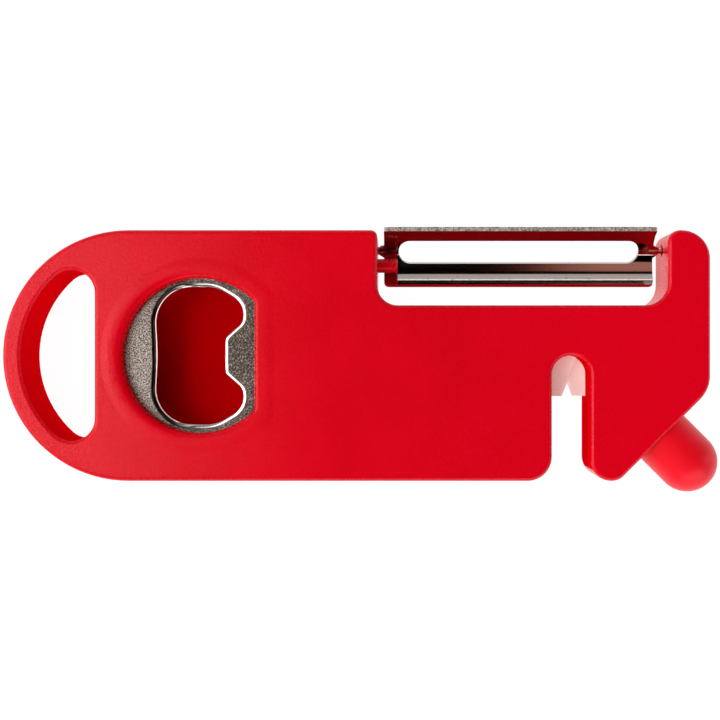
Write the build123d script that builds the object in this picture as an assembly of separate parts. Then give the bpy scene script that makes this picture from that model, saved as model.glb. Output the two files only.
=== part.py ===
from build123d import *
import math
import os

# Kitchen multi tool: hang hole, crown cap opener, swivel peeler, ceramic V sharpener and eye gouge.
# All sizes are in millimetres. The tool lies on its back face. While it is drawn, x = 0 is the
# rounded left end, y = 0 the centre line and z = 0 the back face, and at export the whole tool
# moves so that the origin is the middle of the underside of its bounding box.

# Body
BODY_LENGTH = 170.2
BODY_HALF_HEIGHT = 30.2
BODY_THICKNESS = 17.0
PARTING_Z = BODY_THICKNESS / 2
WALL = 2.2
EDGE_ROUND = 1.0
CUT_CORNER = 178.4            # the cut corner lies on the line x - y = CUT_CORNER
TONGUE_HEIGHT = 1.4
TONGUE_WIDTH = 1.1
FIT_GAP = 0.05

# Hang hole, concentric with the rounded end
HANG_RADIUS = 25.8
HANG_FLAT_X = 22.1
HANG_CORNER = 5.5
HANG_WALL = 2.8

# Peeler notch in the top edge and sharpener slot in the bottom edge
NOTCH_LEFT = 90.05
NOTCH_RIGHT = 160.1
NOTCH_FLOOR = 12.1
SLOT_LEFT = 132.1
SLOT_RIGHT = 141.4
SLOT_TOP = 0.0

# Crown cap opener
OPENER_X = 47.1
OPENING_RADIUS = 18.7
OPENING_FLAT = 13.4
OPENING_CORNER = 2.0
OPENING_ROUND = 1.2
PLATE_RADIUS = 20.4
PLATE_FLAT = 15.1
PLATE_CORNER = 2.5
PLATE_TOP_Z = 13.1
PLATE_THICKNESS = 1.2
PLATE_BOTTOM_Z = PLATE_TOP_Z - PLATE_THICKNESS
LIP_DEPTH = 2.0
LIP_ROUND = 1.1
COLLAR_WALL = 2.1
POCKET_WALL = 1.9
POCKET_FLOOR_ROUND = 3.0

# Swivel peeler blade
BLADE_LENGTH = 66.2
BLADE_THICKNESS = 1.0
BLADE_BEND = 8.2              # radius of the middle of the bent sheet
BLADE_HALF_ANGLE = 64.5       # degrees of bend each side of the middle
BLADE_TILT = 26.0             # degrees that the blade is turned from facing forwards, at rest
BLADE_CORNER = 1.3
BLADE_SLOT_LENGTH = 59.0
BLADE_SLOT_WIDTH = 5.9
BLADE_SLOT_CORNER = 2.8
BLADE_X = (NOTCH_LEFT + NOTCH_RIGHT) / 2
BLADE_SHIFT = -0.35           # of the sheet's middle from the notch's middle
NIB_OVERLAP = 1.4             # length of each nib pin that is joined to the sheet
PIVOT_Y = 25.9
PIVOT_Z = PARTING_Z
NIB_BASE = 1.65
NIB_RADIUS = 0.7
NIB_REACH = 2.0
SOCKET_RADIUS = NIB_RADIUS + FIT_GAP
SOCKET_MOUTH = 1.6
PIVOT_BOSS = 2.0
PIVOT_BOSS_HEIGHT = 6.4
PEG_RADIUS = 1.7
PEG_LENGTH = 4.9
PEG_Y = 22.0
PEG_Z = PARTING_Z + PEG_RADIUS + 0.2

# Ceramic V sharpener
APEX_X = (SLOT_LEFT + SLOT_RIGHT) / 2 + 0.1
APEX_Y = -6.1
V_HALF_ANGLE = 21.5
CERAMIC_WIDTH = 8.6
CERAMIC_BOTTOM = -9.9
CERAMIC_TOP = 5.0
CERAMIC_THICKNESS = 2.8
CERAMIC_MEET_Z = 7.2
CERAMIC_ROUND = 0.8
CARTRIDGE_HALF_WIDTH = 11.8
CARTRIDGE_BOTTOM = -13.5
CARTRIDGE_TOP = 7.0

# Eye gouge on the cut corner
GOUGE_LINE = 140.2            # the gouge's centre line is x + y = GOUGE_LINE
GOUGE_RADIUS = 7.45
GOUGE_STRAIGHT = 9.76
GOUGE_NECK = 5.2
GOUGE_FLANGE = 6.25
GOUGE_FLANGE_DEPTH = 2.5
GOUGE_TANG = 4.5
GOUGE_TANG_DEPTH = 4.0
SCOOP_RADIUS = 5.7
SCOOP_START = 2.6             # solid root of the gouge before its bowl begins
SCOOP_RIM = 3.2               # depth of the bowl's rim behind the centre line

# Screws, their bosses and the ribs
SCREW_POINTS = [(30.0, 22.5), (30.0, -22.5), (78.0, 19.5), (112.0, -19.5), (153.0, 3.0)]
BOSS_RADIUS = 3.2
SCREW_HEAD_RADIUS = 2.8
SCREW_HEAD_SEAT_Z = 0.5
SCREW_HEAD_HEIGHT = 1.7
SCREW_LENGTH = 12.6
THREAD_RADIUS = 1.45
THREAD_CORE = 1.05
THREAD_PITCH = 1.0
PILOT_RADIUS = THREAD_RADIUS + FIT_GAP
CLEARANCE_RADIUS = 1.7
RIB = 1.4
RIB_COLUMNS = [(68.5, -27.5, 27.5), (100.0, -27.5, 9.5), (121.5, -27.5, 9.5)]
RIB_ROW = (63.0, 121.5, -8.0)


def prism(plan, z_low, z_high):
    """A plan raised from z_low to z_high."""
    return Pos(0, 0, z_low) * extrude(plan, z_high - z_low, dir=(0, 0, 1))


def rod(radius, length):
    """A round bar that runs along +X from the origin."""
    return Rot(0, 90, 0) * Cylinder(radius, length, align=(Align.CENTER, Align.CENTER, Align.MIN))


def body_outline(inset=0.0):
    """Outline of the body, or the same outline drawn inset on every side."""
    half = BODY_HALF_HEIGHT - inset
    right = BODY_LENGTH - inset
    cut = CUT_CORNER - inset * math.sqrt(2)
    arch = (SLOT_RIGHT - SLOT_LEFT) / 2 - FIT_GAP
    # Each corner has its place, its radius, and +1 if it points outwards or -1 if inwards.
    corners = [
        (NOTCH_LEFT - inset, half, 1.5, 1),
        (NOTCH_LEFT - inset, NOTCH_FLOOR - inset, 5.0, -1),
        (NOTCH_RIGHT + inset, NOTCH_FLOOR - inset, 5.5, -1),
        (NOTCH_RIGHT + inset, half, 2.9, 1),
        (right, half, 6.8, 1),
        (right, right - cut, 8.0, 1),
        (cut - half, -half, 4.0, 1),
        (SLOT_RIGHT + inset, -half, 5.0, 1),
        (SLOT_RIGHT + inset, SLOT_TOP + inset, arch, -1),
        (SLOT_LEFT - inset, SLOT_TOP + inset, arch, -1),
        (SLOT_LEFT - inset, -half, 5.8, 1),
    ]
    points = [(x, y) for x, y, radius, turn in corners]
    radii = [max(radius - turn * inset, 0.4) for x, y, radius, turn in corners]
    start = (BODY_HALF_HEIGHT, half)
    end = (BODY_HALF_HEIGHT, -half)
    with BuildSketch() as outline:
        with BuildLine():
            FilletPolyline(start, *points, end, radius=radii)
            ThreePointArc(end, (inset, 0), start)
        make_face()
    return outline.sketch


def d_shape(radius, flat, corner):
    """A disc with a straight right side at x = flat and two rounded corners."""
    disc = Circle(radius) - Pos(flat + radius, 0) * Rectangle(2 * radius, 2 * radius)
    return fillet(disc.vertices(), corner)


def hang_hole_plan(margin=0.0):
    """The hang hole, or the same shape grown by a margin."""
    flat = HANG_FLAT_X - BODY_HALF_HEIGHT + margin
    return Pos(BODY_HALF_HEIGHT, 0) * d_shape(HANG_RADIUS + margin, flat, HANG_CORNER + margin)


def opener_plan(margin=0.0):
    """The outline of the opener plate, or the same shape grown by a margin."""
    return Pos(OPENER_X, 0) * d_shape(PLATE_RADIUS + margin, PLATE_FLAT + margin, PLATE_CORNER + margin)


def rib_plan():
    """Stiffening ribs, as narrow bars."""
    left, right, row_y = RIB_ROW
    plan = Pos((left + right) / 2, row_y) * Rectangle(right - left, RIB)
    for x, low, high in RIB_COLUMNS:
        plan += Pos(x, (low + high) / 2) * Rectangle(RIB, high - low)
    return plan


def cavity_plan():
    """The hollow inside the body, less its collar, bosses and ribs."""
    plan = body_outline(WALL)
    plan -= hang_hole_plan(HANG_WALL)
    plan -= opener_plan(COLLAR_WALL)
    plan -= rib_plan()
    for x, y in SCREW_POINTS:
        plan -= Pos(x, y) * Circle(BOSS_RADIUS)
    boss = Rectangle(PIVOT_BOSS, PIVOT_BOSS_HEIGHT)
    plan -= Pos(NOTCH_LEFT - WALL - PIVOT_BOSS / 2, PIVOT_Y) * boss
    plan -= Pos(NOTCH_RIGHT + WALL + PIVOT_BOSS / 2, PIVOT_Y) * boss
    return plan


def pivot_sockets():
    """The two sockets for the blade's nibs, each with a funnel mouth."""
    depth = NIB_REACH + 0.3
    funnel = Rot(0, 90, 0) * Cone(SOCKET_MOUTH, SOCKET_RADIUS, 0.9,
                                  align=(Align.CENTER, Align.CENTER, Align.MIN))
    right = rod(SOCKET_RADIUS, depth) + funnel
    left = Rot(0, 0, 180) * right
    return Pos(NOTCH_RIGHT, PIVOT_Y, PIVOT_Z) * right + Pos(NOTCH_LEFT, PIVOT_Y, PIVOT_Z) * left


def gouge_place():
    """Where the gouge meets the cut corner, looking out along its centre line."""
    x = (GOUGE_LINE + CUT_CORNER) / 2
    y = (GOUGE_LINE - CUT_CORNER) / 2
    return Pos(x, y, PARTING_Z) * Rot(0, 0, -45)


def gouge_neck_hole():
    """The hole in the cut corner's wall that the gouge's neck fills."""
    return gouge_place() * Pos(-WALL - 0.5, 0, 0) * rod(GOUGE_NECK + FIT_GAP, WALL + 1.0)


def tongue(width_gap, height):
    """The rim on the back shell that locates the front shell."""
    outer = body_outline(WALL - TONGUE_WIDTH - width_gap)
    return prism(outer - body_outline(WALL + width_gap), PARTING_Z, PARTING_Z + height)


def stop_peg():
    """The peg inside the blade's bend that stops it turning too far either way."""
    peg = rod(PEG_RADIUS, PEG_LENGTH + 0.5)
    peg = fillet(peg.edges().group_by(Axis.X)[-1], 0.7)
    return Pos(NOTCH_LEFT - 0.5, PEG_Y, PEG_Z) * peg


def front_shell():
    """Front half of the body, with the opener's recess and the stop peg."""
    opening = Pos(OPENER_X, 0) * d_shape(OPENING_RADIUS, OPENING_FLAT, OPENING_CORNER)
    shell = prism(body_outline() - hang_hole_plan(), PARTING_Z, BODY_THICKNESS)
    shell = fillet(shell.edges().group_by(Axis.Z)[-1], EDGE_ROUND)
    shell -= prism(opening, PARTING_Z, BODY_THICKNESS)
    face = shell.faces().sort_by(Axis.Z)[-1]
    mouth = [e for e in face.edges() if (e.center() - Vector(OPENER_X, 0, BODY_THICKNESS)).length < 21]
    shell = fillet(mouth, OPENING_ROUND)
    shell -= prism(cavity_plan(), PARTING_Z, BODY_THICKNESS - WALL)
    shell -= prism(opener_plan(FIT_GAP), PARTING_Z, PLATE_TOP_Z)
    shell -= tongue(FIT_GAP, TONGUE_HEIGHT + 0.1)
    shell += stop_peg()
    shell -= pivot_sockets()
    shell -= gouge_neck_hole()
    for x, y in SCREW_POINTS:
        depth = SCREW_HEAD_SEAT_Z + SCREW_LENGTH + 0.4 - PARTING_Z
        shell -= Pos(x, y, PARTING_Z + depth / 2) * Cylinder(PILOT_RADIUS, depth)
    return shell - ceramic_plate(-1) - ceramic_plate(1)


def cap_pocket():
    """The space behind the opener plate that takes a crown cap."""
    pocket = prism(opener_plan(-POCKET_WALL), WALL, PLATE_BOTTOM_Z)
    return fillet(pocket.edges().group_by(Axis.Z)[0], POCKET_FLOOR_ROUND)


def back_shell():
    """Back half of the body, with the closed cap pocket and the screw holes."""
    shell = prism(body_outline() - hang_hole_plan(), 0, PARTING_Z)
    shell = fillet(shell.edges().group_by(Axis.Z)[0], EDGE_ROUND)
    shell -= prism(cavity_plan(), WALL, PARTING_Z)
    shell += prism(opener_plan(-FIT_GAP), PARTING_Z, PLATE_BOTTOM_Z)
    shell -= cap_pocket()
    shell += tongue(0, TONGUE_HEIGHT)
    shell -= pivot_sockets()
    shell -= gouge_neck_hole()
    for x, y in SCREW_POINTS:
        shell -= Pos(x, y, PARTING_Z / 2) * Cylinder(CLEARANCE_RADIUS, PARTING_Z)
        shell -= Pos(x, y, 0) * Cylinder(SCREW_HEAD_RADIUS + 0.15, SCREW_HEAD_SEAT_Z + SCREW_HEAD_HEIGHT,
                                         align=(Align.CENTER, Align.CENTER, Align.MIN))
    return shell - ceramic_plate(-1) - ceramic_plate(1)


def opener_hole_plan():
    """The kidney hole in the opener plate, with its tooth on the right side."""
    upper = [(-11.6, 16.7, 8.8), (3.4, 16.9, 9.0), (10.6, 12.6, 5.0), (10.0, 8.1, 2.4), (5.8, 4.3, 2.2)]
    lower = [(x, -y, radius) for x, y, radius in reversed(upper)]
    corners = upper + lower + [(-10.7, 0.0, 60.0)]
    with BuildSketch() as hole:
        with BuildLine():
            FilletPolyline(*[(x, y) for x, y, radius in corners],
                           radius=[radius for x, y, radius in corners], close=True)
        make_face()
    return Pos(OPENER_X, 0) * hole.sketch


def opener_plate():
    """Stamped steel plate, its hole's edge turned down into the pocket."""
    hole = opener_hole_plan()
    plate = prism(opener_plan(), PLATE_BOTTOM_Z, PLATE_TOP_Z)
    plate += prism(offset(hole, PLATE_THICKNESS), PLATE_BOTTOM_Z - LIP_DEPTH, PLATE_TOP_Z)
    plate -= prism(hole, PLATE_BOTTOM_Z - LIP_DEPTH, PLATE_TOP_Z)
    lip = plate.faces().sort_by(Axis.Z)[-1].inner_wires()[0].edges()
    return fillet(lip, LIP_ROUND)


def blade_section_point(radius, degrees):
    """A point of the blade's section, in a plane across the blade, from its middle."""
    angle = math.radians(degrees)
    return (radius * math.sin(angle), BLADE_BEND - radius * math.cos(angle))


def blade_sheet():
    """The bent sheet, long enough for its two nibs."""
    outer = BLADE_BEND + BLADE_THICKNESS / 2
    inner = BLADE_BEND - BLADE_THICKNESS / 2
    spread = BLADE_HALF_ANGLE
    with BuildSketch(Plane.YZ) as section:
        with BuildLine():
            ThreePointArc(*[blade_section_point(outer, a) for a in (-spread, 0, spread)])
            Line(blade_section_point(outer, spread), blade_section_point(inner, spread))
            ThreePointArc(*[blade_section_point(inner, a) for a in (spread, 0, -spread)])
            Line(blade_section_point(inner, -spread), blade_section_point(outer, -spread))
        make_face()
    return extrude(section.sketch, BLADE_LENGTH / 2 + 1.5, both=True)


def peeler_blade():
    """Bent steel blade with a slot along its middle and a nib at each end."""
    half = BLADE_LENGTH / 2
    nib_end = half + 1.5
    outline = Rectangle(BLADE_LENGTH, 6 * BLADE_BEND)
    for side in (-1, 1):
        outline += make_face(Polyline((side * half, NIB_BASE), (side * nib_end, NIB_RADIUS),
                                      (side * nib_end, -NIB_RADIUS), (side * half, -NIB_BASE), close=True))
    outline -= RectangleRounded(BLADE_SLOT_LENGTH, BLADE_SLOT_WIDTH, BLADE_SLOT_CORNER)
    blade = blade_sheet() & prism(outline, -BLADE_BEND, 2 * BLADE_BEND)
    corners = [e for e in blade.edges()
               if e.length < 1.1 * BLADE_THICKNESS and abs(e.center().Y) > BLADE_BEND / 2]
    blade = Pos(BLADE_SHIFT, 0, 0) * fillet(corners, BLADE_CORNER)
    pin_start = half - NIB_OVERLAP
    pin = rod(NIB_RADIUS, (NOTCH_RIGHT - NOTCH_LEFT) / 2 + NIB_REACH - pin_start)
    pin = chamfer(pin.edges().group_by(Axis.X)[-1], 0.45)
    for turn in (0, 180):
        blade += Rot(0, 0, turn) * Pos(pin_start, 0, 0) * pin
    return Pos(BLADE_X, PIVOT_Y, PIVOT_Z) * Rot(BLADE_TILT, 0, 0) * blade


def ceramic_plate(side):
    """One plate of the V: side -1 leans in from the left and lies in front, 1 from the right."""
    lean = math.tan(math.radians(V_HALF_ANGLE))
    bottom_x = APEX_X - side * (CERAMIC_BOTTOM - APEX_Y) * lean
    top_x = APEX_X - side * (CERAMIC_TOP - APEX_Y) * lean
    z_low = CERAMIC_MEET_Z if side < 0 else CERAMIC_MEET_Z - CERAMIC_THICKNESS
    corners = [(bottom_x, CERAMIC_BOTTOM), (top_x, CERAMIC_TOP),
               (top_x + side * CERAMIC_WIDTH, CERAMIC_TOP), (bottom_x + side * CERAMIC_WIDTH, CERAMIC_BOTTOM)]
    plate = prism(make_face(Polyline(*corners, close=True)), z_low, z_low + CERAMIC_THICKNESS)
    middle = ((bottom_x + top_x) / 2, (CERAMIC_BOTTOM + CERAMIC_TOP) / 2)
    working = [e for e in plate.edges()
               if abs(e.center().X - middle[0]) < 0.1 and abs(e.center().Y - middle[1]) < 0.1]
    return fillet(working, CERAMIC_ROUND)


def sharpener_cartridge():
    """Moulded frame round the top of the slot that holds the two ceramic plates."""
    height = CARTRIDGE_TOP - CARTRIDGE_BOTTOM
    block = Pos(APEX_X, (CARTRIDGE_TOP + CARTRIDGE_BOTTOM) / 2) * RectangleRounded(
        2 * CARTRIDGE_HALF_WIDTH, height, 2.0)
    slot = SLOT_RIGHT - SLOT_LEFT + 2 * WALL + 2 * FIT_GAP
    slot_middle = (SLOT_LEFT + SLOT_RIGHT) / 2
    top = SLOT_TOP + WALL + FIT_GAP
    block -= Pos(slot_middle, top - slot / 2) * Circle(slot / 2)
    block -= Pos(slot_middle, top - slot / 2 - BODY_HALF_HEIGHT / 2) * Rectangle(slot, BODY_HALF_HEIGHT)
    frame = prism(block, WALL, BODY_THICKNESS - WALL)
    return frame - ceramic_plate(-1) - ceramic_plate(1)


def round_bar(radius, start, end):
    """A round bar along X from start to end, with a ball-shaped end beyond each of them."""
    with BuildSketch(Plane.XZ) as profile:
        with BuildLine():
            Line((start - radius, 0), (end + radius, 0))
            RadiusArc((end + radius, 0), (end, radius), -radius)
            Line((end, radius), (start, radius))
            RadiusArc((start, radius), (start - radius, 0), -radius)
        make_face()
    return revolve(profile.sketch, Axis.X)


def eye_gouge():
    """Round-nosed gouge with a bowl on its back, its root held between the shells."""
    gouge = round_bar(GOUGE_RADIUS, 0, GOUGE_STRAIGHT) - Box(
        2 * GOUGE_RADIUS, 3 * GOUGE_RADIUS, 3 * GOUGE_RADIUS, align=(Align.MAX, Align.CENTER, Align.CENTER))
    below_rim = Pos(SCOOP_START / 2, 0, -SCOOP_RIM) * Box(
        3 * GOUGE_RADIUS, 3 * GOUGE_RADIUS, 2 * GOUGE_RADIUS, align=(Align.MIN, Align.CENTER, Align.MAX))
    bowl_start = SCOOP_START + SCOOP_RADIUS
    mouth_length = GOUGE_STRAIGHT - bowl_start + 2 * SCOOP_RADIUS
    mouth = Pos((bowl_start + GOUGE_STRAIGHT) / 2, 0) * SlotOverall(mouth_length, 2 * SCOOP_RADIUS)
    gouge -= below_rim
    gouge -= prism(mouth, -GOUGE_RADIUS, 0)
    gouge -= round_bar(SCOOP_RADIUS, bowl_start, GOUGE_STRAIGHT)
    gouge += Pos(-WALL, 0, 0) * rod(GOUGE_NECK, WALL)
    gouge += Pos(-WALL - GOUGE_FLANGE_DEPTH, 0, 0) * rod(GOUGE_FLANGE, GOUGE_FLANGE_DEPTH)
    tang_start = -WALL - GOUGE_FLANGE_DEPTH - GOUGE_TANG_DEPTH
    gouge += Pos(tang_start, 0, 0) * rod(GOUGE_TANG, GOUGE_TANG_DEPTH)
    return gouge_place() * gouge


def body_screw():
    """Self-tapping screw: pan head with a cross recess, ringed thread and a blunt point."""
    shank_start = SCREW_HEAD_HEIGHT
    points = [(0, 0), (SCREW_HEAD_RADIUS - 0.5, 0), (SCREW_HEAD_RADIUS, 0.6),
              (SCREW_HEAD_RADIUS, shank_start), (THREAD_CORE, shank_start)]
    z = shank_start + 0.8
    while z < SCREW_LENGTH - 2 * THREAD_PITCH:
        points += [(THREAD_CORE, z), (THREAD_RADIUS, z + THREAD_PITCH / 2)]
        z += THREAD_PITCH
    points += [(THREAD_CORE, SCREW_LENGTH - 1.2), (0, SCREW_LENGTH)]
    profile = make_face(Polyline(*[(x, 0, y) for x, y in points], close=True))
    screw = revolve(profile, Axis.Z)
    for turn in (0, 90):
        screw -= Rot(0, 0, turn) * Box(3.0, 0.6, 2.2)
    return screw


def body_screws():
    """The screws, heads sunk in the back face."""
    return [Pos(x, y, SCREW_HEAD_SEAT_Z) * body_screw() for x, y in SCREW_POINTS]


def single_solid(shape):
    """The one solid in a shape."""
    solids = shape.solids()
    if len(solids) != 1:
        raise ValueError(f"expected one solid, found {len(solids)}")
    return solids[0]


def main():
    pieces = {
        "front_shell": [single_solid(front_shell())],
        "back_shell": [single_solid(back_shell())],
        "opener_plate": [single_solid(opener_plate())],
        "peeler_blade": [single_solid(peeler_blade())],
        "ceramic_plate_left": [single_solid(ceramic_plate(-1))],
        "ceramic_plate_right": [single_solid(ceramic_plate(1))],
        "sharpener_cartridge": [single_solid(sharpener_cartridge())],
        "eye_gouge": [single_solid(eye_gouge())],
        "body_screws": [single_solid(screw) for screw in body_screws()],
    }
    whole = Compound([solid for solids in pieces.values() for solid in solids]).bounding_box()
    middle = whole.center()
    to_frame = Pos(-middle.X, -middle.Y, -whole.min.Z)
    os.makedirs("parts", exist_ok=True)
    for name, solids in pieces.items():
        moved = [to_frame * solid for solid in solids]
        shape = moved[0] if len(moved) == 1 else Compound(moved)
        export_step(shape, f"parts/{name}.step")
    print("box", whole.size, "moved by", -middle.X, -middle.Y, -whole.min.Z)
    print("blade axis", BLADE_X - middle.X, PIVOT_Y - middle.Y, PIVOT_Z)


main()
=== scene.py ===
import bpy
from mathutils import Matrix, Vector

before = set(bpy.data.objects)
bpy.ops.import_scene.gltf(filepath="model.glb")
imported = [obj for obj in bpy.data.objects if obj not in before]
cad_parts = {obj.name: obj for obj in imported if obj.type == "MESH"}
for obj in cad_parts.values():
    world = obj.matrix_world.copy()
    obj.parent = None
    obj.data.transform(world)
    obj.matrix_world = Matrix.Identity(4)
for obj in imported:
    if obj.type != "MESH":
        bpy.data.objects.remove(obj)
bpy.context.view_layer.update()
MM = 0.001
WHITE = (1.0, 1.0, 1.0)

# ---------------------------------------------------------------- places on the tool
# Body and hang hole
HANDLE_END_X = -75.0 * MM           # the handle's end is polished by use
BODY_MIDDLE_X = -5.0 * MM           # the polish has faded out here
PAINTED_LIGHT_X = 20.0 * MM                # painted light: the red is painted a little lighter from here to the arm
ARM_X = 71.0 * MM                   # just left of the arm beside the peeler, whose walls are less glossy
HANDLE_CENTRE = (-56.60 * MM, 1.22 * MM, 0.0)
HANG_WALL_X = -60.60 * MM           # the hang hole and its walls lie left of here
HANG_WALL_RADIUS = 27.6 * MM        # from the handle's centre to just behind the hole's curved wall
SLOT_X = 49.95 * MM
SLOT_REACH = 5.2 * MM               # from the middle of the sharpener's slot to just behind its walls
POCKET_Z = 10.0 * MM                # faces that look up from below here are the cap pocket's floor

# Opener
OPENER_CENTRE = (-39.73 * MM, 1.22 * MM, 0.0)
OPENING_RADIUS = 19.9 * MM          # of the opening in the front face, with its rounded edge
OPENING_FLAT = 14.6 * MM            # from its centre to its straight right side
RIM_LEFT_X = -50.0 * MM             # the opening's rounded edge is dull left of here
RIM_RIGHT_X = -36.0 * MM            # and as glossy as the body right of here
RING_INSIDE = (18.8 * MM, 21.4 * MM)      # radii between which the ring round the opening rises
RING_OUTSIDE = (21.6 * MM, 23.8 * MM)     # and falls again
RING_FADE_X = (-62.0 * MM, -30.0 * MM)    # the ring is highest left of these, and lowest right of them
PLATE_SHADE_X = (-54.0 * MM, -44.0 * MM)   # painted shade: the plate is pale left of these, and painted dark right of them
LIP_LEFT_X = -47.0 * MM             # left of here the opener's lip gets painted shade and a painted reflection
LIP_RIGHT_X = -40.0 * MM            # and right of here it has neither and is bright
LIP_FACING = (-0.42, 0.0, 0.91)     # the right half of the lip is shaded as if it leaned this way
LIP_WALL_Z = 11.5 * MM              # above this the lip's left wall is bright
LIP_EDGE_FACING = (0.64, 0.0, 0.77)     # and shaded as if it leaned this way

# Peeler blade, at rest, and sharpener
FLANGE_Y = 26.2 * MM                # the blade's upper flange begins here and is nearly flat
FLANGE_FACING = (0.0, -0.755, 0.656)    # its shading faces this way
BLADE_CUT_Z = 15.62 * MM            # where the blade's upper cut edge begins
CERAMIC_LEFT_X = 46.0 * MM          # painted light: the ceramic glows, palest and strongest towards its right side in the slot
CERAMIC_MIDDLE_X = 48.0 * MM
CERAMIC_RIGHT_X = 53.0 * MM

RED_SHEEN = (1.0, 0.34, 0.36)       # the gloss of the red plastic, seen face on

# ---------------------------------------------------------------- camera
FRONT_Z = 17.0 * MM                 # height of the tool's front face
CAMERA_HEIGHT = 305.0 * MM          # above the front face
CAMERA_X = 9.94 * MM
CAMERA_Y = -1.05 * MM
VIEW_WIDTH = 172.84 * MM            # width of the view at the front face
SENSOR = 36.0
SHIFT_X = -0.0625
SHIFT_Y = 0.0069


def make_camera():
    data = bpy.data.cameras.new("studio_camera")
    data.sensor_width = SENSOR
    data.lens = SENSOR * CAMERA_HEIGHT / VIEW_WIDTH
    data.shift_x = SHIFT_X
    data.shift_y = SHIFT_Y
    data.clip_start = 0.01
    data.clip_end = 20.0
    camera = bpy.data.objects.new("studio_camera", data)
    camera.location = (CAMERA_X, CAMERA_Y, FRONT_Z + CAMERA_HEIGHT)
    bpy.context.scene.collection.objects.link(camera)
    bpy.context.scene.camera = camera


# ---------------------------------------------------------------- node helpers
class Graph:
    """A material's node tree, with short calls for the nodes that the materials here use."""

    def __init__(self, name):
        self.material = bpy.data.materials.new(name)
        self.material.use_nodes = True
        self.tree = self.material.node_tree
        self.shader = self.tree.nodes["Principled BSDF"]

    def node(self, kind, **settings):
        made = self.tree.nodes.new(kind)
        for key, value in settings.items():
            setattr(made, key, value)
        return made

    def link(self, source, target):
        self.tree.links.new(source, target)

    def place(self):
        """The point on the piece, in metres, in the frame of the model."""
        return self.node("ShaderNodeTexCoord").outputs["Object"]

    def along(self, axis):
        """One coordinate of the point on the piece."""
        split = self.node("ShaderNodeSeparateXYZ")
        self.link(self.place(), split.inputs[0])
        return split.outputs[axis]

    def distance(self, centre):
        """How far the point is from an upright line through the centre."""
        flat = self.stretch((1.0, 1.0, 0.0))
        made = self.node("ShaderNodeVectorMath", operation="DISTANCE")
        self.link(flat, made.inputs[0])
        made.inputs[1].default_value = centre
        return made.outputs["Value"]

    def noise(self, scale, detail=2.0, roughness=0.5, place=None, distortion=0.0):
        made = self.node("ShaderNodeTexNoise")
        made.inputs["Scale"].default_value = scale
        made.inputs["Detail"].default_value = detail
        made.inputs["Roughness"].default_value = roughness
        made.inputs["Distortion"].default_value = distortion
        self.link(place or self.place(), made.inputs["Vector"])
        return made.outputs["Fac"]

    def stretch(self, factors, place=None):
        """The point scaled along each axis, for grain that runs one way."""
        made = self.node("ShaderNodeVectorMath", operation="MULTIPLY")
        self.link(place or self.place(), made.inputs[0])
        made.inputs[1].default_value = factors
        return made.outputs[0]

    def ramp(self, value, low, high, to_low, to_high):
        """A value mapped smoothly from one range to another."""
        made = self.node("ShaderNodeMapRange", interpolation_type="SMOOTHSTEP")
        self.link(value, made.inputs["Value"])
        made.inputs["From Min"].default_value = low
        made.inputs["From Max"].default_value = high
        made.inputs["To Min"].default_value = to_low
        made.inputs["To Max"].default_value = to_high
        return made.outputs["Result"]

    def math(self, operation, first, second):
        made = self.node("ShaderNodeMath", operation=operation)
        for socket, value in zip(made.inputs, (first, second)):
            if isinstance(value, (int, float)):
                socket.default_value = value
            else:
                self.link(value, socket)
        return made.outputs[0]

    def mix(self, factor, first, second):
        """Two colours, or a colour and a socket, mixed by a factor."""
        made = self.node("ShaderNodeMix", data_type="RGBA")
        self.link(factor, made.inputs["Factor"])
        for socket, value in zip((made.inputs[6], made.inputs[7]), (first, second)):
            if isinstance(value, tuple):
                socket.default_value = (*value, 1.0)
            else:
                self.link(value, socket)
        return made.outputs[2]

    def bump(self, height, strength, distance, onto=None):
        made = self.node("ShaderNodeBump")
        made.inputs["Strength"].default_value = strength
        made.inputs["Distance"].default_value = distance
        self.link(height, made.inputs["Height"])
        if onto:
            self.link(onto, made.inputs["Normal"])
        return made.outputs["Normal"]

    def flatten(self, factor, normal, facing):
        """A normal that turns to one fixed direction of the piece where the factor is 1."""
        turned = self.node("ShaderNodeVectorTransform", vector_type="NORMAL", convert_from="OBJECT",
                           convert_to="WORLD")
        turned.inputs[0].default_value = facing
        made = self.node("ShaderNodeMix", data_type="VECTOR")
        self.link(factor, made.inputs["Factor"])
        self.link(normal, made.inputs[4])
        self.link(turned.outputs[0], made.inputs[5])
        return made.outputs[1]

    def set(self, **values):
        """Values on the shader's own sockets. A socket's name is written with underscores."""
        for key, value in values.items():
            socket = self.shader.inputs[key.replace("_", " ")]
            if hasattr(value, "is_linked"):
                self.link(value, socket)
            elif isinstance(value, tuple):
                socket.default_value = (*value, 1.0)
            else:
                socket.default_value = value
        return self.material


# ---------------------------------------------------------------- materials
def upright(graph, steep=0.25, flat=0.6):
    """1 on faces that stand upright, 0 on the flat front and back. The limits are of the normal's height."""
    geometry = graph.node("ShaderNodeNewGeometry")
    split = graph.node("ShaderNodeSeparateXYZ")
    graph.link(geometry.outputs["Normal"], split.inputs[0])
    slope = graph.math("ABSOLUTE", split.outputs["Z"], 0.0)
    return graph.ramp(slope, steep, flat, 1.0, 0.0)


def pocket_floor(graph):
    """0 on faces that look up from inside the body, 1 elsewhere."""
    geometry = graph.node("ShaderNodeNewGeometry")
    facing = graph.node("ShaderNodeSeparateXYZ")
    graph.link(geometry.outputs["Normal"], facing.inputs[0])
    up = graph.ramp(facing.outputs["Z"], 0.3, 0.7, 0.0, 1.0)
    deep = graph.ramp(graph.along("Z"), POCKET_Z, POCKET_Z + 1.0 * MM, 1.0, 0.0)
    return graph.math("SUBTRACT", 1.0, graph.math("MULTIPLY", up, deep))


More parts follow.
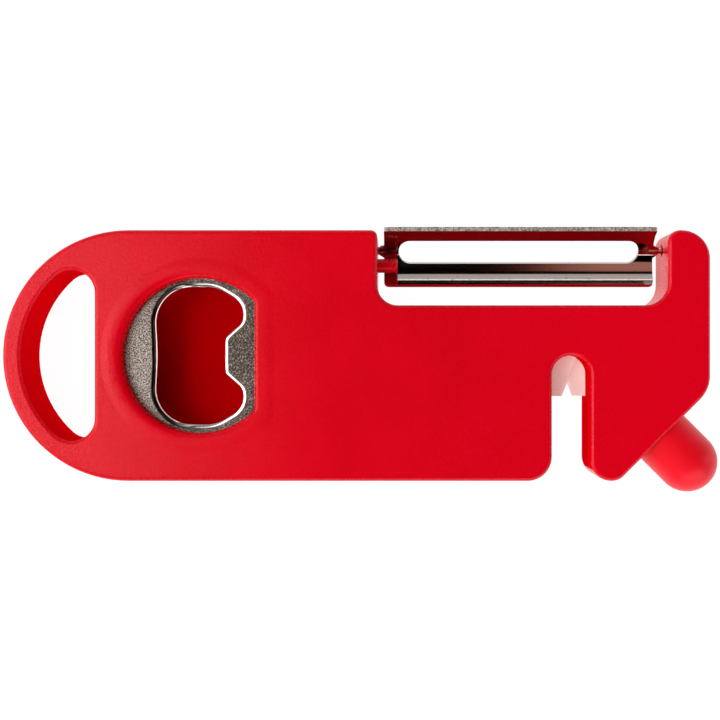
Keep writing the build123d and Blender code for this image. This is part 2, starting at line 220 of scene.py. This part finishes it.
def inner_walls(graph):
    """1 inside the hang hole and the sharpener's slot, where the mould was left unpolished."""
    left = graph.ramp(graph.along("X"), HANG_WALL_X, HANG_WALL_X + 1.0 * MM, 1.0, 0.0)
    hang = graph.ramp(graph.distance(HANDLE_CENTRE), HANG_WALL_RADIUS, HANG_WALL_RADIUS + 1.0 * MM, 1.0, 0.0)
    near = graph.math("ABSOLUTE", graph.math("SUBTRACT", graph.along("X"), SLOT_X), 0.0)
    slot = graph.ramp(near, SLOT_REACH, SLOT_REACH + 0.6 * MM, 1.0, 0.0)
    return graph.math("MAXIMUM", graph.math("MULTIPLY", left, hang), slot)


def worn_edges(graph, radius, low, high):
    """1 on sharp edges, 0 on flat faces."""
    bevel = graph.node("ShaderNodeBevel", samples=8)
    bevel.inputs["Radius"].default_value = radius
    geometry = graph.node("ShaderNodeNewGeometry")
    dot = graph.node("ShaderNodeVectorMath", operation="DOT_PRODUCT")
    graph.link(bevel.outputs["Normal"], dot.inputs[0])
    graph.link(geometry.outputs["Normal"], dot.inputs[1])
    return graph.ramp(dot.outputs["Value"], low, high, 1.0, 0.0)


def red_colour(g, wall, above_pocket):
    """The red's variation: painted a little lighter to the right and lighter and deeper on walls (painted
    light), darker and deeper in the pocket (painted shade).
    """
    tone = g.noise(60.0, detail=3.0)
    mottle = g.noise(900.0, detail=2.0)
    colour = g.mix(g.ramp(tone, 0.35, 0.65, 0.0, 1.0), (0.660, 0.0003, 0.0080), (0.710, 0.0006, 0.0105))
    colour = g.mix(g.ramp(mottle, 0.3, 0.7, 0.0, 0.35), colour, (0.690, 0.0015, 0.0120))
    # painted light: the red is painted lighter towards the arm
    colour = g.mix(g.ramp(g.along("X"), PAINTED_LIGHT_X, ARM_X, 0.0, 0.6), colour, (0.800, 0.0006, 0.0120))
    # painted light: the walls are painted their own lighter, deeper red
    colour = g.mix(wall, colour, (0.720, 0.0003, 0.0055))
    # painted shade: the cap pocket's floor is painted a darker red
    return g.mix(above_pocket, (0.520, 0.0001, 0.0015), colour)


def red_gloss(g, wall, above_pocket, from_opener):
    """How glossy the red is: most at the handle's end and on edges, least inside holes."""
    gloss = g.ramp(g.along("X"), HANDLE_END_X, BODY_MIDDLE_X, 0.50, 0.07)
    gloss = g.math("MAXIMUM", gloss, g.ramp(upright(g, 0.90, 0.99), 0.0, 1.0, 0.0, 0.60))
    gloss = g.math("MULTIPLY", gloss, g.ramp(wall, 0.0, 1.0, 1.0, 0.0))
    outer = g.ramp(g.along("X"), ARM_X - 5.0 * MM, ARM_X, 0.30, 0.14)
    outer = g.math("MULTIPLY", outer, g.math("SUBTRACT", 1.0, inner_walls(g)))
    gloss = g.math("ADD", gloss, g.math("MULTIPLY", wall, outer))
    gloss = g.math("MULTIPLY", gloss, above_pocket)
    rim = g.ramp(from_opener, OPENING_RADIUS + 0.1 * MM, OPENING_RADIUS + 0.7 * MM, 1.0, 0.0)
    dull = g.math("MULTIPLY", rim, g.ramp(g.along("X"), RIM_LEFT_X, RIM_RIGHT_X, 0.9, 0.0))
    return g.math("MULTIPLY", gloss, g.math("SUBTRACT", 1.0, dull))


def moulded_red(name):
    """Bright red plastic with a fine spark grain on the flat faces and smoother walls."""
    g = Graph(name)
    wall = upright(g)
    above_pocket = pocket_floor(g)
    beside = g.math("ADD", g.along("X"), OPENING_RADIUS - OPENING_FLAT - OPENER_CENTRE[0])
    from_opener = g.math("MAXIMUM", g.distance(OPENER_CENTRE), beside)
    grain = g.noise(3000.0, detail=3.0, roughness=0.75)
    coarse = g.noise(1300.0, detail=2.0)
    height = g.math("ADD", g.math("MULTIPLY", grain, 0.6), g.math("MULTIPLY", coarse, 0.4))
    flat_grain = g.math("MULTIPLY", height, g.math("SUBTRACT", 1.0, g.math("MULTIPLY", wall, 0.8)))
    ring = g.math("MULTIPLY", g.ramp(from_opener, *RING_INSIDE, 0.0, 1.0),
                  g.ramp(from_opener, *RING_OUTSIDE, 1.0, 0.0))
    ring = g.math("MULTIPLY", ring, g.ramp(g.along("X"), *RING_FADE_X, 1.0, 0.35))
    normal = g.bump(flat_grain, 0.80, 0.00014, onto=g.bump(ring, 0.62, 0.0004))
    return g.set(Base_Color=red_colour(g, wall, above_pocket), Roughness=g.ramp(coarse, 0.3, 0.7, 0.24, 0.30),
                 Specular_IOR_Level=red_gloss(g, wall, above_pocket, from_opener),
                 Specular_Tint=RED_SHEEN, Normal=normal)


def gloss_red(name):
    """The gouge's smoother red, with faint moulding ripples."""
    g = Graph(name)
    tone = g.noise(150.0, detail=2.0)
    colour = g.mix(g.ramp(tone, 0.35, 0.65, 0.0, 1.0), (0.860, 0.0010, 0.0115), (0.910, 0.0018, 0.0170))
    ripple = g.noise(260.0, detail=2.0)
    fine = g.noise(3000.0, detail=2.0)
    height = g.math("ADD", g.math("MULTIPLY", ripple, 0.8), g.math("MULTIPLY", fine, 0.2))
    rough = g.ramp(fine, 0.3, 0.7, 0.34, 0.44)
    return g.set(Base_Color=colour, Roughness=rough, Specular_IOR_Level=0.5,
                 Specular_Tint=(1.0, 0.45, 0.48), Normal=g.bump(height, 0.25, 0.00008))


def tumbled_steel(name):
    """Stamped steel plate with the coarse, sparkling skin that barrel tumbling leaves, painted darker to the
    right, with painted shade and a painted reflection on the lip's left side.
    """
    g = Graph(name)
    lip = upright(g, 0.86, 0.985)
    pits = g.noise(2900.0, detail=2.0, roughness=0.8)
    specks = g.noise(3700.0, detail=1.0)
    blotch = g.noise(240.0, detail=3.0)
    colour = g.mix(g.ramp(blotch, 0.3, 0.7, 0.0, 1.0), (0.37, 0.315, 0.27), (0.44, 0.38, 0.33))
    # painted shade: the plate is painted darker from its left crescent towards its right
    colour = g.mix(g.ramp(g.along("X"), *PLATE_SHADE_X, 0.0, 0.95), colour, (0.125, 0.097, 0.077))
    colour = g.mix(g.ramp(pits, 0.43, 0.60, 0.95, 0.0), colour, (0.022, 0.016, 0.012))
    colour = g.mix(g.ramp(specks, 0.56, 0.68, 0.0, 0.65), colour, (0.58, 0.52, 0.47))
    left = g.ramp(g.along("X"), LIP_LEFT_X, LIP_RIGHT_X, 1.0, 0.0)
    steep = upright(g, 0.30, 0.55)
    shallow = g.math("MULTIPLY", upright(g, 0.985, 0.9999), g.math("SUBTRACT", 1.0, steep))
    painted_brow_shade = g.math("MULTIPLY", left, shallow)
    colour = g.mix(lip, colour, (0.92, 0.87, 0.85))
    # painted reflection: the steep left side of the lip is painted a pale pink
    colour = g.mix(g.math("MULTIPLY", left, steep), colour, (0.62, 0.47, 0.45))
    # painted shade: the lip's left side is painted near black where it starts to curve down
    colour = g.mix(painted_brow_shade, colour, (0.030, 0.022, 0.018))
    rough = g.ramp(lip, 0.0, 1.0, 0.34, 0.16)
    height = g.math("MULTIPLY", pits, g.math("SUBTRACT", 1.0, lip))
    turned = g.math("MULTIPLY", g.math("MULTIPLY", lip, 0.55), g.math("SUBTRACT", 1.0, left))
    normal = g.flatten(turned, g.bump(height, 0.60, 0.00012), LIP_FACING)
    upper_wall = g.ramp(g.along("Z"), LIP_WALL_Z, LIP_WALL_Z + 0.3 * MM, 0.0, 1.0)
    edge = g.math("MULTIPLY", g.math("MULTIPLY", left, steep), upper_wall)
    normal = g.flatten(edge, normal, LIP_EDGE_FACING)
    return g.set(Base_Color=colour, Metallic=1.0, Roughness=rough, Normal=normal)


def mirror_steel(name):
    """Polished blade sheet with faint rolling lines, and a torn, grainy cut edge along its top."""
    g = Graph(name)
    lines = g.noise(1.0, detail=3.0, place=g.stretch((60.0, 5000.0, 5000.0)))
    spots = g.noise(1500.0, detail=1.0)
    colour = g.mix(g.ramp(lines, 0.3, 0.7, 0.0, 1.0), (0.52, 0.475, 0.445), (0.61, 0.56, 0.53))
    colour = g.mix(g.ramp(spots, 0.68, 0.74, 0.0, 0.8), colour, (0.30, 0.27, 0.25))
    cut = g.ramp(g.along("Z"), BLADE_CUT_Z - 0.06 * MM, BLADE_CUT_Z + 0.02 * MM, 0.0, 1.0)
    tear = g.noise(1.0, detail=3.0, roughness=0.7, place=g.stretch((4200.0, 2600.0, 2600.0)))
    torn = g.mix(g.ramp(tear, 0.38, 0.58, 0.0, 1.0), (0.06, 0.048, 0.042), (0.60, 0.52, 0.47))
    rough = g.math("ADD", g.ramp(lines, 0.2, 0.8, 0.06, 0.11), g.math("MULTIPLY", cut, 0.40))
    metal = g.math("SUBTRACT", 1.0, g.math("MULTIPLY", cut, 0.5))
    smooth = g.bump(lines, 0.08, 0.00002)
    torn_skin = g.bump(g.math("MULTIPLY", tear, cut), 0.9, 0.00025, onto=smooth)
    side = g.node("ShaderNodeSeparateXYZ")
    g.link(g.node("ShaderNodeTexCoord").outputs["Normal"], side.inputs[0])
    inner = g.ramp(side.outputs["Y"], -0.40, -0.15, 1.0, 0.0)
    upper = g.ramp(g.along("Y"), FLANGE_Y - 0.4 * MM, FLANGE_Y + 0.4 * MM, 0.0, 1.0)
    flange = g.math("MULTIPLY", g.math("MULTIPLY", inner, upper), g.math("SUBTRACT", 1.0, cut))
    # painted shade: the upper flange's inner face is painted darker, dimming its reflection
    colour = g.mix(g.math("MULTIPLY", flange, 0.42), colour, (0.02, 0.01, 0.01))
    colour = g.mix(cut, colour, torn)
    return g.set(Base_Color=colour, Metallic=metal, Roughness=rough,
                 Normal=g.flatten(flange, torn_skin, FLANGE_FACING))


def ground_ceramic(name):
    """Off-white sintered ceramic with a fine ground surface and faint grey marks from knives, and a faint
    painted glow, pink to the left and paler and stronger to the right.
    """
    g = Graph(name)
    powder = g.noise(3500.0, detail=3.0)
    marks = g.noise(1.0, detail=2.0, place=g.stretch((900.0, 900.0, 120.0)))
    colour = g.mix(g.ramp(powder, 0.3, 0.7, 0.0, 1.0), (0.90, 0.83, 0.79), (0.95, 0.90, 0.86))
    colour = g.mix(g.ramp(marks, 0.60, 0.72, 0.0, 0.25), colour, (0.52, 0.48, 0.45))
    # painted light: a faint glow, pink to the left and paler and stronger to the right
    return g.set(Base_Color=colour, Roughness=0.55, Specular_IOR_Level=0.4,
                 Emission_Color=g.mix(g.ramp(g.along("X"), CERAMIC_MIDDLE_X, CERAMIC_RIGHT_X, 0.0, 1.0),
                                      (0.95, 0.73, 0.68), (0.92, 0.82, 0.78)),
                 Emission_Strength=g.ramp(g.along("X"), CERAMIC_LEFT_X, CERAMIC_RIGHT_X, 0.13, 0.25),
                 Normal=g.bump(powder, 0.25, 0.00004))


def grey_moulding(name):
    """The hidden cartridge's plain grey plastic."""
    g = Graph(name)
    grain = g.noise(2500.0, detail=2.0)
    colour = g.mix(g.ramp(grain, 0.3, 0.7, 0.0, 1.0), (0.16, 0.16, 0.17), (0.20, 0.20, 0.21))
    return g.set(Base_Color=colour, Roughness=0.55, Normal=g.bump(grain, 0.2, 0.00005))


def zinc_steel(name):
    """Zinc plated screw steel, brighter on its edges."""
    g = Graph(name)
    cloud = g.noise(1200.0, detail=3.0)
    bright = worn_edges(g, 0.00025, 0.88, 0.99)
    colour = g.mix(g.ramp(cloud, 0.3, 0.7, 0.0, 1.0), (0.46, 0.47, 0.48), (0.58, 0.58, 0.60))
    colour = g.mix(bright, colour, (0.74, 0.74, 0.74))
    rough = g.ramp(cloud, 0.3, 0.7, 0.24, 0.36)
    return g.set(Base_Color=colour, Metallic=1.0, Roughness=rough, Normal=g.bump(cloud, 0.15, 0.00004))


def paint(node, material):
    """Puts the material in every slot of a CAD node."""
    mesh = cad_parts[node].data
    if not mesh.materials:
        mesh.materials.append(material)
    for index in range(len(mesh.materials)):
        mesh.materials[index] = material


def paint_all():
    red = moulded_red("moulded_red")
    paint("front_shell", red)
    paint("back_shell", red)
    paint("eye_gouge", gloss_red("gloss_red"))
    paint("opener_plate", tumbled_steel("tumbled_steel"))
    paint("peeler_blade", mirror_steel("mirror_steel"))
    ceramic = ground_ceramic("ground_ceramic")
    paint("ceramic_plate_left", ceramic)
    paint("ceramic_plate_right", ceramic)
    paint("sharpener_cartridge", grey_moulding("grey_moulding"))
    paint("body_screws", zinc_steel("zinc_steel"))


# ---------------------------------------------------------------- studio
FLOOR_REACH = 3.0                   # metres from the middle to each edge
FLOOR_GAP = 0.2 * MM                # below the tool's back face

# Each lamp's name, place, size and power, in metres and watts, and its colour.
LAMPS = [
    ("key_left", (-0.52, 0.0, 0.42), (0.50, 0.60), 3.6, WHITE),
    ("sheen_left", (-0.37, 0.0, 0.88), (0.10, 0.60), 1.7, WHITE),
    ("fill_right", (0.70, 0.05, 0.12), (0.16, 0.60), 0.6, WHITE),
    ("fill_back", (0.03, 0.53, 0.47), (0.90, 0.26), 0.45, (1.0, 0.95, 0.91)),
    ("strip_back", (0.03, 0.60, 0.37), (0.90, 0.03), 0.12, WHITE),
    ("low_back", (-0.13, 0.62, 0.26), (0.57, 0.17), 0.12, WHITE),
    ("fill_front", (0.25, -0.60, 0.38), (1.00, 0.50), 3.3, WHITE),
]


def make_floor():
    corners = [(x * FLOOR_REACH, y * FLOOR_REACH, 0.0) for x, y in ((-1, -1), (1, -1), (1, 1), (-1, 1))]
    mesh = bpy.data.meshes.new("studio_floor")
    mesh.from_pydata(corners, [], [(0, 1, 2, 3)])
    floor = bpy.data.objects.new("studio_floor", mesh)
    floor.location.z = -FLOOR_GAP
    g = Graph("studio_floor")
    mesh.materials.append(g.set(Base_Color=(0.12, 0.12, 0.12), Roughness=0.9, Specular_IOR_Level=0.05,
                                Emission_Color=WHITE, Emission_Strength=0.97))
    bpy.context.scene.collection.objects.link(floor)


def make_lamp(name, place, size, power, colour):
    """A rectangular panel that faces the tool."""
    data = bpy.data.lights.new(name, "AREA")
    data.shape = "RECTANGLE"
    data.size, data.size_y = size
    data.energy = power
    data.color = colour
    light = bpy.data.objects.new(name, data)
    light.location = place
    light.rotation_euler = (-Vector(place)).to_track_quat("-Z", "Y").to_euler()
    bpy.context.scene.collection.objects.link(light)


def make_world():
    """A dark ceiling over a pale horizon, with one rosy patch a little to the right of the zenith."""
    world = bpy.data.worlds.new("studio_world")
    bpy.context.scene.world = world
    world.use_nodes = True
    tree = world.node_tree

    def band(value, low, high, to_low, to_high):
        made = tree.nodes.new("ShaderNodeMapRange")
        made.interpolation_type = "SMOOTHSTEP"
        for key, number in (("From Min", low), ("From Max", high), ("To Min", to_low), ("To Max", to_high)):
            made.inputs[key].default_value = number
        tree.links.new(value, made.inputs["Value"])
        return made.outputs["Result"]

    def joined(operation, first, second):
        made = tree.nodes.new("ShaderNodeMath")
        made.operation = operation
        tree.links.new(first, made.inputs[0])
        tree.links.new(second, made.inputs[1])
        return made.outputs[0]

    split = tree.nodes.new("ShaderNodeSeparateXYZ")
    tree.links.new(tree.nodes.new("ShaderNodeTexCoord").outputs["Generated"], split.inputs[0])
    across, along, up = split.outputs
    horizon = band(up, 0.05, 0.70, 0.50, 0.0)
    patch = band(across, 0.072, 0.165, 0.0, 0.52)
    for edge in ((across, 0.25, 0.33, 1.0, 0.0), (along, -0.16, -0.10, 0.0, 1.0),
                 (along, 0.36, 0.50, 1.0, 0.0), (up, 0.5, 0.6, 0.0, 1.0)):
        patch = joined("MULTIPLY", patch, band(*edge))
    colour = tree.nodes.new("ShaderNodeMix")
    colour.data_type = "RGBA"
    colour.inputs[6].default_value = (1.0, 1.0, 1.0, 1.0)
    tree.links.new(band(patch, 0.0, 0.02, 0.0, 1.0), colour.inputs["Factor"])
    rose = tree.nodes.new("ShaderNodeMix")
    rose.data_type = "RGBA"
    rose.inputs[6].default_value = (1.0, 0.16, 0.10, 1.0)
    rose.inputs[7].default_value = (1.0, 0.42, 0.33, 1.0)
    tree.links.new(band(patch, 0.0, 0.3, 0.0, 1.0), rose.inputs["Factor"])
    tree.links.new(rose.outputs[2], colour.inputs[7])
    tree.links.new(colour.outputs[2], tree.nodes["Background"].inputs["Color"])
    tree.links.new(joined("ADD", horizon, patch), tree.nodes["Background"].inputs["Strength"])


def make_studio():
    bpy.context.scene.view_settings.view_transform = "Standard"
    make_floor()
    make_world()
    for lamp in LAMPS:
        make_lamp(*lamp)


paint_all()
make_camera()
make_studio()
